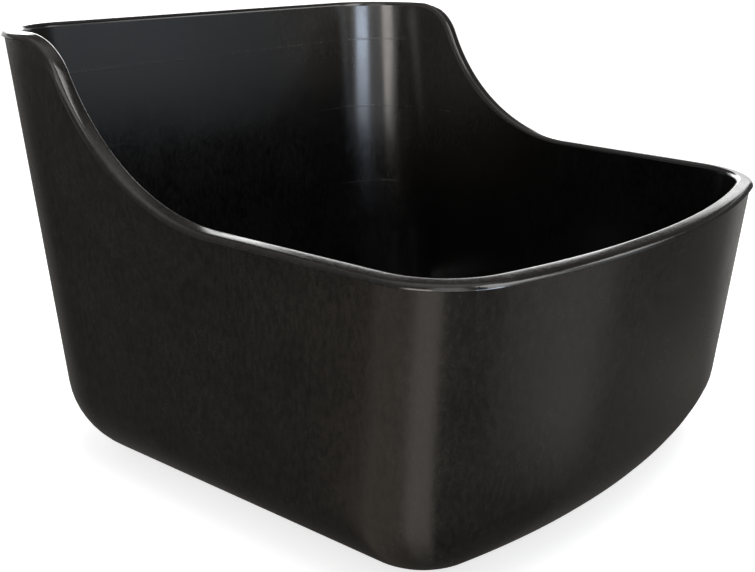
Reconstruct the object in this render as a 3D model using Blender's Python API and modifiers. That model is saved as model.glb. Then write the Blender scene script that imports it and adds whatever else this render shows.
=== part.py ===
"""A high-backed horse feed tub of black polyethylene, with a rubber plug in the drain of its floor.

Metres, +Z up. The flat back faces +Y and the low bowed front faces -Y. The origin is on the floor line,
under the middle of the tub's width and depth.

The tub's walls lean outwards as they rise, so its outside is a loft between outlines that differ at each
height: a straight back, a rounded corner, a straight side, a rounded corner and a bowed front. The rim
drops from the high back to the low front along two arcs, a shoulder and a sweep. The right half is
lofted, and a Mirror makes the left one.
"""

import math

import bmesh
import bpy
from mathutils import Vector

# The tub's sizes over its rim. Its widths and bow are between the sharp corners that the radii round off.
BACK_WIDTH = 0.520
FRONT_WIDTH = 0.466
DEPTH = 0.540
BACK_HEIGHT = 0.378
FRONT_HEIGHT = 0.249
FRONT_BOW = 0.0433
BASE_BOW = 0.0376
BACK_TOP_RADIUS = 0.079
BACK_BASE_RADIUS = 0.093
FRONT_RADIUS = 0.075
BASE_RADIUS = 0.0686
SIDE_DRAFT = math.radians(1.7)
BACK_DRAFT = math.radians(4.4)
FRONT_DRAFT = math.radians(5.8)
WALL = 0.0127

# The side's rim, from the back forwards
SHOULDER_START = 0.0816
SHOULDER_RADIUS = 0.0516
SWEEP_RADIUS = 0.1777

# The rim's section. It stands proud of the outside, and its top falls a little outwards.
RIM_PROUD = 0.0024
RIM_LEDGE = 0.0010
RIM_FALL = 0.0009
OUTER_ROUND = 0.0040
INNER_ROUND = 0.0041
RIM_LIP = RIM_FALL + OUTER_ROUND

# The drain in the middle of the floor, and its plug
PLUG_RADIUS = 0.0190
PLUG_TAPER = 0.0012
PLUG_TIP_CHAMFER = 0.0015
PLUG_LIP = 0.0070
PLUG_FLANGE = 0.0035
PLUG_EDGE = 0.0010
PLUG_ABOVE_GROUND = 0.0015
TAB_RADIUS = 0.0130
TAB_THICKNESS = 0.0050
TAB_EDGE = 0.0010
SEAT_GAP = 0.0003

# How finely the curves are cut
BACK_COLUMNS = 3
CORNER_COLUMNS = 8
SIDE_COLUMNS = 24
FRONT_COLUMNS = 8
FILLET_RINGS = 6
WALL_RINGS = 4
ROUND_RINGS = 3
SEGMENTS = 48
SIDE_SAMPLES = 400
SETTLING_STEPS = 12
SHARP_ANGLE = math.radians(35)
WELD = 0.00001
CUT_PAST = 0.004
LEAST_CORNER = 0.004

POLYETHYLENE = (0.020, 0.018, 0.016)
RUBBER = (0.030, 0.030, 0.030)


class Outline:
    """The right half of the tub's outside at one height, walked from the back's middle to the front's.

    The walls lean in from the rim's lip, its widest line.
    """

    def __init__(self, height):
        below_back = BACK_HEIGHT - RIM_LIP - height
        below_front = FRONT_HEIGHT - RIM_LIP - height
        half_back = BACK_WIDTH / 2 - RIM_PROUD - below_back * math.tan(SIDE_DRAFT)
        half_front = FRONT_WIDTH / 2 - RIM_PROUD - below_front * math.tan(SIDE_DRAFT)
        bow = FRONT_BOW + (BASE_BOW - FRONT_BOW) * below_front / FRONT_HEIGHT
        back_radius = BACK_TOP_RADIUS + (BACK_BASE_RADIUS - BACK_TOP_RADIUS) * below_back / BACK_HEIGHT
        self.back_y = DEPTH / 2 - RIM_PROUD - below_back * math.tan(BACK_DRAFT)
        front_y = -DEPTH / 2 + RIM_PROUD + below_front * math.tan(FRONT_DRAFT)

        back_corner = Vector((half_back, self.back_y))
        front_corner = Vector((half_front, front_y + bow))
        along = (front_corner - back_corner).normalized()
        self.side_normal = Vector((-along.y, along.x))

        # The back corner's centre is one radius from the back and from the side.
        start = back_corner - back_radius * self.side_normal
        self.back_centre = start + along * (self.back_y - back_radius - start.y) / along.y
        self.back_radius = back_radius

        # The front corner's centre is one radius from the side and from the bow, which is an arc.
        self.bow_radius = (half_front**2 + bow**2) / (2 * bow)
        self.bow_centre = Vector((0.0, front_y + self.bow_radius))
        start = front_corner - FRONT_RADIUS * self.side_normal
        away = start - self.bow_centre
        forward = away.dot(along)
        excess = away.dot(away) - (self.bow_radius - FRONT_RADIUS) ** 2
        self.front_centre = start + along * (math.sqrt(forward**2 - excess) - forward)

    def at(self, stretch, share):
        """The point and the outward normal that lie a share of the way along one stretch."""
        if stretch == "back":
            return Vector((self.back_centre.x * share, self.back_y)), Vector((0.0, 1.0))
        if stretch == "side":
            start = self.back_centre + self.back_radius * self.side_normal
            end = self.front_centre + FRONT_RADIUS * self.side_normal
            return start.lerp(end, share), self.side_normal
        side_angle = math.atan2(self.side_normal.y, self.side_normal.x)
        to_front = self.front_centre - self.bow_centre
        bow_angle = math.atan2(to_front.y, to_front.x)
        centre, radius, first, last = {
            "back_corner": (self.back_centre, self.back_radius, math.pi / 2, side_angle),
            "front_corner": (self.front_centre, FRONT_RADIUS, side_angle, bow_angle),
            "front": (self.bow_centre, self.bow_radius, bow_angle, -math.pi / 2),
        }[stretch]
        angle = first + (last - first) * share
        normal = Vector((math.cos(angle), math.sin(angle)))
        return centre + radius * normal, normal


def rim_height(y):
    """The side rim's height: flat, a shoulder and a sweep that meet where both are steepest, then flat."""
    turn = math.acos(max(0.0, 1 - (BACK_HEIGHT - FRONT_HEIGHT) / (SHOULDER_RADIUS + SWEEP_RADIUS)))
    forward = DEPTH / 2 - RIM_PROUD - SHOULDER_START - y
    sweep_end = (SHOULDER_RADIUS + SWEEP_RADIUS) * math.sin(turn)
    if forward <= 0:
        return BACK_HEIGHT
    if forward <= SHOULDER_RADIUS * math.sin(turn):
        return BACK_HEIGHT - SHOULDER_RADIUS + math.sqrt(SHOULDER_RADIUS**2 - forward**2)
    if forward < sweep_end:
        return FRONT_HEIGHT + SWEEP_RADIUS - math.sqrt(SWEEP_RADIUS**2 - (sweep_end - forward) ** 2)
    return FRONT_HEIGHT


def rim_point(stretch, share):
    """The outside wall's crest in one column, its outward normal, and how far it leans out for its height."""
    height = FRONT_HEIGHT
    for _ in range(SETTLING_STEPS):
        place, normal = Outline(height).at(stretch, share)
        height = rim_height(place.y)
    lean = (place - Outline(0.0).at(stretch, share)[0]).dot(normal) / height
    return Vector((place.x, place.y, height)), normal.to_3d(), lean


def side_shares():
    """Shares of the side that cut its rim into equal lengths, so that the shoulder and sweep stay round."""
    fine = [step / SIDE_SAMPLES for step in range(SIDE_SAMPLES + 1)]
    points = [rim_point("side", share)[0] for share in fine]
    lengths = [0.0]
    for one, other in zip(points, points[1:]):
        lengths.append(lengths[-1] + (other - one).length)
    shares = []
    for column in range(SIDE_COLUMNS):
        wanted = lengths[-1] * column / SIDE_COLUMNS
        shares.append(next(share for share, length in zip(fine, lengths) if length >= wanted))
    return shares


def columns():
    """Each column of the loft as its stretch and its share of it, with the last one at the front's middle."""
    found = [("back", step / BACK_COLUMNS) for step in range(BACK_COLUMNS)]
    found += [("back_corner", step / CORNER_COLUMNS) for step in range(CORNER_COLUMNS)]
    found += [("side", share) for share in side_shares()]
    found += [("front_corner", step / CORNER_COLUMNS) for step in range(CORNER_COLUMNS)]
    found += [("front", step / FRONT_COLUMNS) for step in range(FRONT_COLUMNS + 1)]
    return found


def rim_section():
    """The rim's section as (out, down) from the wall's crest, from under its outer edge to its inner face."""
    points = [(0.0, RIM_LIP + RIM_LEDGE)]
    for step in range(ROUND_RINGS + 1):
        angle = math.pi / 2 * step / ROUND_RINGS
        out = RIM_PROUD - OUTER_ROUND * (1 - math.cos(angle))
        points.append((out, RIM_LIP - OUTER_ROUND * math.sin(angle)))
    for step in range(ROUND_RINGS + 1):
        angle = math.pi / 2 * step / ROUND_RINGS
        out = INNER_ROUND * (1 - math.sin(angle)) - WALL
        points.append((out, INNER_ROUND * (1 - math.cos(angle))))
    return points


def level_ring(places, inset, height):
    """A ring at one height, inset from the outside."""
    outline = Outline(height)
    ring = []
    for stretch, share in places:
        place, normal = outline.at(stretch, share)
        inner = place - inset * normal
        ring.append(Vector((inner.x, inner.y, height)))
    return ring


def fillet_rings(places, inset):
    """Rings round the bottom edge, from the floor up to the wall, for the skin at this inset."""
    outer_radius = min(BASE_RADIUS, FRONT_RADIUS - LEAST_CORNER, BACK_BASE_RADIUS - LEAST_CORNER)
    radius = outer_radius - inset
    rings = []
    for step in range(FILLET_RINGS + 1):
        angle = math.pi / 2 * step / FILLET_RINGS
        from_wall = outer_radius - radius * math.sin(angle)
        rings.append(level_ring(places, from_wall, outer_radius - radius * math.cos(angle)))
    return rings


def rim_rings(places):
    """Rings over the rim, square to its run, from the outside wall to the inside one, leaning as they do."""
    crest = [rim_point(stretch, share) for stretch, share in places]
    rings = [[] for _ in rim_section()]
    for index, (point, normal, lean) in enumerate(crest):
        if index in (0, len(crest) - 1):
            run = Vector((1.0, 0.0, 0.0))
        else:
            run = crest[index + 1][0] - crest[index - 1][0]
        up = normal.cross(run).normalized()
        up *= math.copysign(1.0, up.z)
        for ring, (out, down) in zip(rings, rim_section()):
            ring.append(point + (out - lean * down * up.z) * normal - down * up)
    return rings


def between(lower, upper):
    """The rings strictly between two others, equally spaced."""
    return [
        [one.lerp(other, step / (WALL_RINGS + 1)) for one, other in zip(lower, upper)]
        for step in range(1, WALL_RINGS + 1)
    ]


def half_tub():
    """The right half's skin, open at the mirror plane: up the outside, over the rim and down the inside."""
    places = columns()
    outside = fillet_rings(places, 0.0)
    inside = fillet_rings(places, WALL)
    rim = rim_rings(places)
    rings = outside + between(outside[-1], rim[0]) + rim
    rings += between(rim[-1], inside[-1]) + inside[::-1]

    shape = bmesh.new()
    rows = [[shape.verts.new(point) for point in ring] for ring in rings]
    for row in rows:
        row[0].co.x = 0.0
        row[-1].co.x = 0.0
    for lower, upper in zip(rows, rows[1:]):
        for index in range(len(places) - 1):
            shape.faces.new((lower[index], upper[index], upper[index + 1], lower[index + 1]))
    shape.faces.new(rows[0])
    shape.faces.new(rows[-1][::-1])
    return shape


def collection(name):
    """A new collection in the scene."""
    made = bpy.data.collections.new(name)
    bpy.context.scene.collection.children.link(made)
    return made


def material(name, colour, roughness):
    """A plain Principled material."""
    made = bpy.data.materials.new(name)
    made.use_nodes = True
    shader = made.node_tree.nodes["Principled BSDF"]
    shader.inputs["Base Color"].default_value = (*colour, 1.0)
    shader.inputs["Roughness"].default_value = roughness
    shader.inputs["Metallic"].default_value = 0.0
    return made


def add_object(name, shape, group, finish=None):
    """An object that takes over the bmesh, in a collection."""
    mesh = bpy.data.meshes.new(name)
    shape.to_mesh(mesh)
    shape.free()
    made = bpy.data.objects.new(name, mesh)
    group.objects.link(made)
    if finish:
        mesh.materials.append(finish)
    return made


def add_turned(name, profile, group, finish=None):
    """A turned solid. Its profile runs down the outer side as (radius, height), from the axis to the axis."""
    shape = bmesh.new()
    points = [shape.verts.new((radius, 0.0, height)) for radius, height in profile]
    for one, other in zip(points, points[1:]):
        shape.edges.new((one, other))
    made = add_object(name, shape, group, finish)
    screw = made.modifiers.new("turn", "SCREW")
    screw.steps = SEGMENTS
    screw.render_steps = SEGMENTS
    screw.use_merge_vertices = True
    screw.merge_threshold = WELD
    return made


def as_cutter(made):
    """Marks an object as a helper that isn't part of the tub."""
    made.hide_render = True
    made.display_type = "WIRE"
    return made


def add_boolean(target, other, operation):
    """Joins or cuts one object by another."""
    boolean = target.modifiers.new(operation.lower(), "BOOLEAN")
    boolean.operation = operation
    boolean.object = other
    boolean.solver = "EXACT"


def drain_place():
    """The middle of the flat floor."""
    floor = Outline(0.0)
    front_y = floor.at("front", 1.0)[0].y
    return Vector((0.0, (floor.back_y + front_y) / 2, 0.0))


def add_tub(group, cutters, finish):
    """The moulding, with the plug's hole and the recess for its flange."""
    tub = add_object("tub", half_tub(), group, finish)
    tub.data.shade_smooth()
    tub.data.set_sharp_from_angle(angle=SHARP_ANGLE)
    mirror = tub.modifiers.new("left half", "MIRROR")
    mirror.merge_threshold = WELD
    hole_radius = PLUG_RADIUS + SEAT_GAP
    recess_radius = PLUG_RADIUS + PLUG_LIP + SEAT_GAP
    recess_floor = WALL - PLUG_FLANGE - SEAT_GAP
    profile = [
        (0.0, WALL + CUT_PAST),
        (recess_radius, WALL + CUT_PAST),
        (recess_radius, recess_floor),
        (hole_radius, recess_floor),
        (hole_radius, -CUT_PAST),
        (0.0, -CUT_PAST),
    ]
    drain = as_cutter(add_turned("drain_cutter", profile, cutters))
    drain.location = drain_place()
    add_boolean(tub, drain, "DIFFERENCE")
    return tub


def add_pull_tab(cutters):
    """The plug's upright tab, a soft-edged disc that is cut off inside the flange."""
    shape = bmesh.new()
    bmesh.ops.create_cone(
        shape, cap_ends=True, segments=SEGMENTS, radius1=TAB_RADIUS, radius2=TAB_RADIUS, depth=TAB_THICKNESS
    )
    cut = bmesh.ops.bisect_plane(
        shape,
        geom=shape.verts[:] + shape.edges[:] + shape.faces[:],
        plane_co=(0.0, -PLUG_FLANGE / 2, 0.0),
        plane_no=(0.0, 1.0, 0.0),
        clear_inner=True,
    )
    root_edges = [item for item in cut["geom_cut"] if isinstance(item, bmesh.types.BMEdge)]
    bmesh.ops.contextual_create(shape, geom=root_edges)
    tab = as_cutter(add_object("pull_tab", shape, cutters))
    tab.rotation_euler.x = math.pi / 2
    tab.location = drain_place() + Vector((0.0, 0.0, WALL))
    soft_edge = tab.modifiers.new("soft edge", "BEVEL")
    soft_edge.width = TAB_EDGE
    soft_edge.segments = 2
    soft_edge.limit_method = "ANGLE"
    return tab


def add_drain_plug(group, cutters, finish):
    """The stopper: a tapered shank in the floor, a flange flush with it, and the tab that pulls it out."""
    flange_radius = PLUG_RADIUS + PLUG_LIP
    flange_bottom = WALL - PLUG_FLANGE
    tip_radius = PLUG_RADIUS - PLUG_TAPER
    profile = [
        (0.0, WALL),
        (flange_radius - PLUG_EDGE, WALL),
        (flange_radius, WALL - PLUG_EDGE),
        (flange_radius, flange_bottom),
        (PLUG_RADIUS, flange_bottom),
        (tip_radius, PLUG_ABOVE_GROUND + PLUG_TIP_CHAMFER),
        (tip_radius - PLUG_TIP_CHAMFER, PLUG_ABOVE_GROUND),
        (0.0, PLUG_ABOVE_GROUND),
    ]
    plug = add_turned("drain_plug", profile, group, finish)
    plug.location = drain_place()
    add_boolean(plug, add_pull_tab(cutters), "UNION")
    return plug


def main():
    for old in list(bpy.data.objects):
        bpy.data.objects.remove(old, do_unlink=True)
    group = collection("horse_feed_tub")
    cutters = collection("cutters")
    add_tub(group, cutters, material("black_polyethylene", POLYETHYLENE, 0.42))
    add_drain_plug(group, cutters, material("plug_rubber", RUBBER, 0.70))


main()
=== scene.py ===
"""A horse feed tub: one black polyethylene moulding with a rubber drain plug, on a pale studio floor."""

import logging
import math
from collections.abc import Sequence
from dataclasses import dataclass
from enum import Enum
from functools import reduce

import bmesh
import bpy
from mathutils import Matrix, Vector


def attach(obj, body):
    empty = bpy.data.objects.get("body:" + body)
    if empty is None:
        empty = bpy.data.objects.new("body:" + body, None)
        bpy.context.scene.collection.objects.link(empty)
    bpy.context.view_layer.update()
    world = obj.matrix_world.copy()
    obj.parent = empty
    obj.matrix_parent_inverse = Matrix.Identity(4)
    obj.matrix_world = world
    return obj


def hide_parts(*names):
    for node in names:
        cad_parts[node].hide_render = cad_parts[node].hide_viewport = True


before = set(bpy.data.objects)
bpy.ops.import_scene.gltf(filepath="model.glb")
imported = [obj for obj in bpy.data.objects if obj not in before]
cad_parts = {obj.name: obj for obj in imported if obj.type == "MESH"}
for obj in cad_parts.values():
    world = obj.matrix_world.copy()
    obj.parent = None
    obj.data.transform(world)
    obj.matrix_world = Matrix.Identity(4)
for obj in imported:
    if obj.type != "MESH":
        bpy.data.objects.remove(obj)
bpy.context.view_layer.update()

SHARP_ANGLE = math.radians(38)
QUARTER = math.pi / 2
HALF = 0.5
MIX_COLOURS = (6, 7)
MIX_RESULT = 2

log = logging.getLogger("feed_tub")

Ring = list[Vector]
Span = tuple[float, float]
Triple = tuple[float, float, float]
Colour = Triple
Socket = bpy.types.NodeSocket
Value = Socket | float

WHITE: Colour = (1.0, 1.0, 1.0)


class Slot(Enum):
    """The record's material slots."""

    POLYETHYLENE = "polyethylene"
    PLUG_RUBBER = "plug_rubber"


class Zone(Enum):
    """The vertex attributes that tell the polyethylene which part of the moulding it is on."""

    INSIDE = "inside"
    RIM = "rim"


class Stretch(Enum):
    """The stretches of the outline's right half, in order."""

    BACK = "back"
    BACK_CORNER = "back corner"
    SIDE = "side"
    FRONT_CORNER = "front corner"
    FRONT = "front"


class Rise(Enum):
    """How a value rises between its two ends."""

    SMOOTH = "SMOOTHSTEP"
    STEADY = "LINEAR"


Place = tuple[Stretch, float]


def select_none() -> None:
    """Leaves nothing selected."""
    if bpy.context.object and bpy.context.object.mode != "OBJECT":
        bpy.ops.object.mode_set(mode="OBJECT")
    bpy.ops.object.select_all(action="DESELECT")


def pick(piece: bpy.types.Object) -> None:
    """Selects one object alone and makes it active.

    Args:
        piece: The object.
    """
    select_none()
    piece.select_set(True)
    bpy.context.view_layer.objects.active = piece


def apply_modifiers(piece: bpy.types.Object) -> None:
    """Applies every modifier of a piece, in order.

    Args:
        piece: The piece.
    """
    pick(piece)
    for name in [modifier.name for modifier in piece.modifiers]:
        bpy.ops.object.modifier_apply(modifier=name)


def settle(piece: bpy.types.Object) -> None:
    """Puts a piece's place into its mesh, turns its faces outwards and smooths all but its sharp edges.

    Args:
        piece: The piece.
    """
    pick(piece)
    bpy.ops.object.transform_apply(location=True, rotation=True, scale=True)
    bpy.ops.object.mode_set(mode="EDIT")
    bpy.ops.mesh.select_all(action="SELECT")
    bpy.ops.mesh.normals_make_consistent(inside=False)
    bpy.ops.mesh.select_all(action="DESELECT")
    bpy.ops.object.mode_set(mode="OBJECT")
    bpy.ops.object.shade_smooth_by_angle(angle=SHARP_ANGLE)


def arc(centre: Span, radius: float, first: float, last: float, steps: int) -> list[Span]:
    """Points along an arc in a section's plane.

    Args:
        centre: Its middle.
        radius: Its radius.
        first: The angle it starts at.
        last: The angle it ends at.
        steps: How many parts it is cut into.

    Returns:
        Its points, both ends included.
    """
    turns = [first + (last - first) * step / steps for step in range(steps + 1)]
    return [(centre[0] + radius * math.cos(turn), centre[1] + radius * math.sin(turn)) for turn in turns]


def extrude_through(name: str, rings: Sequence[Ring], closed: bool) -> bpy.types.Object:
    """Draws a skin out of a circle, one extruded edge loop after another.

    Args:
        name: The new object's name.
        rings: Where each loop's points go, all of one count, counter-clockwise from +Y.
        closed: Whether the last loop is bridged to the first. If not, a face closes each end.

    Returns:
        The new object. Its vertices are in the order of the rings.
    """
    select_none()
    count = len(rings[0])
    bpy.ops.mesh.primitive_circle_add(vertices=count)
    made = bpy.context.object
    made.name = made.data.name = name
    bpy.ops.object.mode_set(mode="EDIT")
    bpy.ops.mesh.select_mode(type="EDGE")
    bpy.ops.mesh.select_all(action="SELECT")
    for number, ring in enumerate(rings):
        if number:
            bpy.ops.mesh.extrude_edges_move()
        shape = bmesh.from_edit_mesh(made.data)
        for vertex, place in zip(list(shape.verts)[-count:], ring):
            vertex.co = place
    if closed:
        for edge in shape.edges:
            edge.select_set(edge.is_boundary)
        bpy.ops.mesh.bridge_edge_loops()
    else:
        for end in (list(shape.verts)[:count], list(shape.verts)[-count:]):
            bpy.ops.mesh.select_all(action="DESELECT")
            for edge in shape.edges:
                edge.select_set(edge.verts[0] in end and edge.verts[1] in end)
            bpy.ops.mesh.edge_face_add()
            shape = bmesh.from_edit_mesh(made.data)
    bmesh.update_edit_mesh(made.data)
    bpy.ops.object.mode_set(mode="OBJECT")
    return made


@dataclass
class NodeSheet:
    """A node tree that is being filled."""

    tree: bpy.types.NodeTree

    def feed(self, socket: Socket, value: Value | Sequence[float]) -> None:
        """Sets an input socket.

        Args:
            socket: The input.
            value: Another node's output, which is linked into it, or a plain value.
        """
        if isinstance(value, bpy.types.NodeSocket):
            self.tree.links.new(value, socket)
        else:
            socket.default_value = value

    def add(self, kind: str, inputs: dict | None = None, **settings: object) -> bpy.types.Node:
        """Adds a node.

        Args:
            kind: Its type, without the word that all of Blender's shader nodes start with.
            inputs: What its input sockets take, by name or by number.
            settings: Its own settings.

        Returns:
            The node.
        """
        node = self.tree.nodes.new("ShaderNode" + kind)
        for name, value in settings.items():
            setattr(node, name, value)
        for name, value in (inputs or {}).items():
            self.feed(node.inputs[name], value)
        return node

    def out(self, kind: str, inputs: dict | None = None, **settings: object) -> Socket:
        """Adds a node and gives its first output."""
        return self.add(kind, inputs, **settings).outputs[0]

    def math(self, operation: str, *values: Value) -> Socket:
        """A Math node's result."""
        return self.out("Math", dict(enumerate(values)), operation=operation)

    def times(self, *values: Value) -> Socket:
        """The product of its values."""
        return reduce(lambda found, value: self.math("MULTIPLY", found, value), values)

    def plus(self, *values: Value) -> Socket:
        """The sum of its values."""
        return reduce(lambda found, value: self.math("ADD", found, value), values)

    def most(self, *values: Value) -> Socket:
        """The largest of its values."""
        return reduce(lambda found, value: self.math("MAXIMUM", found, value), values)

    def minus(self, value: Value, other: Value) -> Socket:
        """One value less another."""
        return self.math("SUBTRACT", value, other)

    def unsigned(self, value: Value) -> Socket:
        """A value without its sign."""
        return self.math("ABSOLUTE", value)

    def length(self, one: Socket, other: Socket) -> Socket:
        """How far two distances at right angles reach together."""
        return self.math("SQRT", self.plus(self.times(one, one), self.times(other, other)))

    def place(self) -> Socket:
        """The place on the piece, in Object coordinates."""
        return self.add("TexCoord").outputs["Object"]

    def axes(self, vector: Socket) -> bpy.types.NodeOutputs:
        """A vector's X, Y and Z."""
        return self.add("SeparateXYZ", {0: vector}).outputs

    def turned(self, vector: Socket, degrees: float) -> Socket:
        """A vector seen from an axis that points this many degrees round from +X."""
        inputs = {"Vector": vector, "Angle": -math.radians(degrees)}
        return self.out("VectorRotate", inputs, rotation_type="Z_AXIS")

    def bearing(self, axes: bpy.types.NodeOutputs) -> Socket:
        """The direction of a vector in plan, in degrees round from +X."""
        return self.math("DEGREES", self.math("ARCTAN2", axes["Y"], axes["X"]))

    def noise(self, vector: Socket, scale: Value, kind: Span) -> Socket:
        """A Noise Texture's factor. Its kind is its detail and its roughness."""
        inputs = {"Vector": vector, "Scale": scale, "Detail": kind[0], "Roughness": kind[1]}
        return self.add("TexNoise", inputs).outputs["Fac"]

    def ramp(self, value: Socket, low: Value, high: Value, how: Rise = Rise.SMOOTH) -> Socket:
        """A step from 0 at low to 1 at high, smooth unless told otherwise."""
        inputs = {"Value": value, "From Min": low, "From Max": high}
        return self.out("MapRange", inputs, interpolation_type=how.value)

    def fall(self, value: Socket, low: Value, high: Value) -> Socket:
        """A smooth step from 1 at low to 0 at high."""
        return self.minus(1.0, self.ramp(value, low, high))

    def span(self, share: Value, low: Value, high: Value) -> Socket:
        """The value that lies this share of the way from low to high."""
        return self.out("MapRange", {"Value": share, "To Min": low, "To Max": high})

    def blend(self, share: Socket, one: Socket | Colour, other: Socket | Colour) -> Socket:
        """Mixes two colours.

        Args:
            share: The share of the second.
            one: The first.
            other: The second.

        Returns:
            The mixture.
        """
        node = self.add("Mix", {0: share}, data_type="RGBA", blend_type="MIX")
        for number, value in zip(MIX_COLOURS, (one, other)):
            linked = isinstance(value, bpy.types.NodeSocket)
            self.feed(node.inputs[number], value if linked else (*value, 1.0))
        return node.outputs[MIX_RESULT]

    def lit(self, colour: Socket | Sequence[float], glow: Sequence[float], share: Socket) -> Socket:
        """A colour with a share of a glow added to it."""
        part = self.out("VectorMath", {0: glow, "Scale": share}, operation="SCALE")
        return self.out("VectorMath", {0: colour, 1: part}, operation="ADD")

    def group(self, tree: bpy.types.NodeTree, inputs: dict) -> bpy.types.NodeOutputs:
        """Places a shared effect.

        Args:
            tree: The effect.
            inputs: Its own values here.

        Returns:
            Its outputs, by name.
        """
        node = self.tree.nodes.new("ShaderNodeGroup")
        node.node_tree = tree
        for name, value in inputs.items():
            self.feed(node.inputs[name], value)
        return node.outputs

    def surface(self, shader: Socket) -> None:
        """Makes a shader the material's surface."""
        self.feed(self.tree.nodes["Material Output"].inputs["Surface"], shader)


def new_group(name: str, inputs: dict[str, float], outputs: Sequence[str]) -> tuple[NodeSheet, dict, dict]:
    """Starts a shader node group. Its first input is a vector, and the rest are plain values.

    Args:
        name: Its name.
        inputs: The starting value of each plain input.
        outputs: The names of its values.

    Returns:
        Its sheet, its inputs' sockets by name and its outputs' sockets by name.
    """
    tree = bpy.data.node_groups.new(name, "ShaderNodeTree")
    tree.interface.new_socket("Vector", in_out="INPUT", socket_type="NodeSocketVector")
    for label, value in inputs.items():
        tree.interface.new_socket(label, in_out="INPUT", socket_type="NodeSocketFloat").default_value = value
    for label in outputs:
        tree.interface.new_socket(label, in_out="OUTPUT", socket_type="NodeSocketFloat")
    given, result = tree.nodes.new("NodeGroupInput").outputs, tree.nodes.new("NodeGroupOutput").inputs
    return NodeSheet(tree), *({s.name: s for s in sockets if s.name} for sockets in (given, result))


@dataclass
class SharedEffects:
    """The surface effects that more than one finish uses, each built once.

    A noise is its detail and its roughness. An edge is where a smooth step starts and ends.
    """

    pebble_noise: Span = (2.0, 0.7)
    pebble_edge: Span = (0.34, 0.66)
    flow_noise: Span = (4.0, 0.6)
    flow_edge: Span = (0.32, 0.68)
    rub_noise: Span = (5.0, 0.65)
    rub_most: float = 0.85
    rub_step: float = 0.25
    scratch_noise: Span = (1.0, 0.4)
    scratch_edge: Span = (0.66, 0.76)
    patch_noise: Span = (2.0, 0.5)
    patch_scale: float = 0.07
    patch_most: float = 0.8
    line_edge: Span = (0.3, 1.6)
    reach_edge: Span = (0.55, 1.0)
    break_noise: Span = (4.0, 0.6)
    break_scale: float = 14.0
    break_least: Span = (0.20, 0.70)
    break_step: float = 0.16

    def __post_init__(self) -> None:
        """Builds every group."""
        self.grain = self.moulded_grain()
        self.rub = self.edge_rub()
        self.scuff = self.drag_scuffs()
        self.ring = self.nesting_ring()

    def moulded_grain(self) -> bpy.types.NodeTree:
        """The fine pebbled skin that a mould leaves, with slow flow marks under it.

        Returns:
            A group whose Height is the pebbles, whose Speck is their bright tops and whose Flow is the
            slow marks.
        """
        inputs = {"Scale": 900.0, "Flow Scale": 22.0}
        sheet, given, result = new_group("moulded_grain", inputs, ("Height", "Speck", "Flow"))
        pebbles = sheet.noise(given["Vector"], given["Scale"], self.pebble_noise)
        flow = sheet.noise(given["Vector"], given["Flow Scale"], self.flow_noise)
        sheet.feed(result["Height"], pebbles)
        sheet.feed(result["Speck"], sheet.ramp(pebbles, *self.pebble_edge))
        sheet.feed(result["Flow"], sheet.ramp(flow, *self.flow_edge))
        return sheet.tree

    def edge_rub(self) -> bpy.types.NodeTree:
        """The patchy dull rubbing along an edge that is handled.

        Returns:
            A group whose Rubbed is 1 where the edge is worn.
        """
        sheet, given, result = new_group("edge_rub", {"Edge": 0.0, "Scale": 60.0, "Reach": 0.35}, ("Rubbed",))
        patches = sheet.noise(given["Vector"], given["Scale"], self.rub_noise)
        least = sheet.minus(self.rub_most, given["Reach"])
        worn = sheet.ramp(patches, least, sheet.plus(least, self.rub_step))
        sheet.feed(result["Rubbed"], sheet.times(given["Edge"], worn))
        return sheet.tree

    def drag_scuffs(self) -> bpy.types.NodeTree:
        """Short fine scratches that lie along one axis.

        Returns:
            A group whose Scuff is 1 in a scratch. Its vector is squeezed along the scratches beforehand.
        """
        sheet, given, result = new_group("drag_scuffs", {"Scale": 300.0, "Amount": 0.3}, ("Scuff",))
        streaks = sheet.noise(given["Vector"], given["Scale"], self.scratch_noise)
        where = sheet.noise(given["Vector"], sheet.times(given["Scale"], self.patch_scale), self.patch_noise)
        patch = sheet.ramp(where, sheet.minus(self.patch_most, given["Amount"]), self.patch_most)
        sheet.feed(result["Scuff"], sheet.times(sheet.ramp(streaks, *self.scratch_edge), patch))
        return sheet.tree

    def nesting_ring(self) -> bpy.types.NodeTree:
        """The broken line that another tub's rim rubs at one height when tubs are stacked.

        Returns:
            A group whose Rubbed is 1 on the line. Breaks is the share of the line that is missing. Reach is
            how far it runs each way from its middle, which Across and Along give for the right half and
            its mirror.
        """
        inputs = {"Height": 0.3, "Slope": 0.0, "Width": 0.0007, "Seed": 0.0, "Breaks": 0.5, "Across": 0.0,
                  "Along": 0.2, "Reach": 0.3}
        sheet, given, result = new_group("nesting_ring", inputs, ("Rubbed",))
        axes = sheet.axes(given["Vector"])
        level = sheet.plus(given["Height"], sheet.times(given["Slope"], axes["X"]))
        away = sheet.unsigned(sheet.minus(axes["Z"], level))
        near = sheet.fall(sheet.math("DIVIDE", away, given["Width"]), *self.line_edge)
        across = sheet.minus(sheet.unsigned(axes["X"]), given["Across"])
        distance = sheet.length(across, sheet.minus(axes["Y"], given["Along"]))
        near = sheet.times(near, sheet.fall(sheet.math("DIVIDE", distance, given["Reach"]), *self.reach_edge))
        shift = sheet.out("CombineXYZ", {"X": given["Seed"], "Y": given["Seed"]})
        moved = sheet.out("VectorMath", {0: given["Vector"], 1: shift}, operation="ADD")
        least = sheet.span(given["Breaks"], *self.break_least)
        spots = sheet.noise(moved, self.break_scale, self.break_noise)
        kept = sheet.ramp(spots, least, sheet.plus(least, self.break_step))
        sheet.feed(result["Rubbed"], sheet.times(near, kept))
        return sheet.tree


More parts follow.
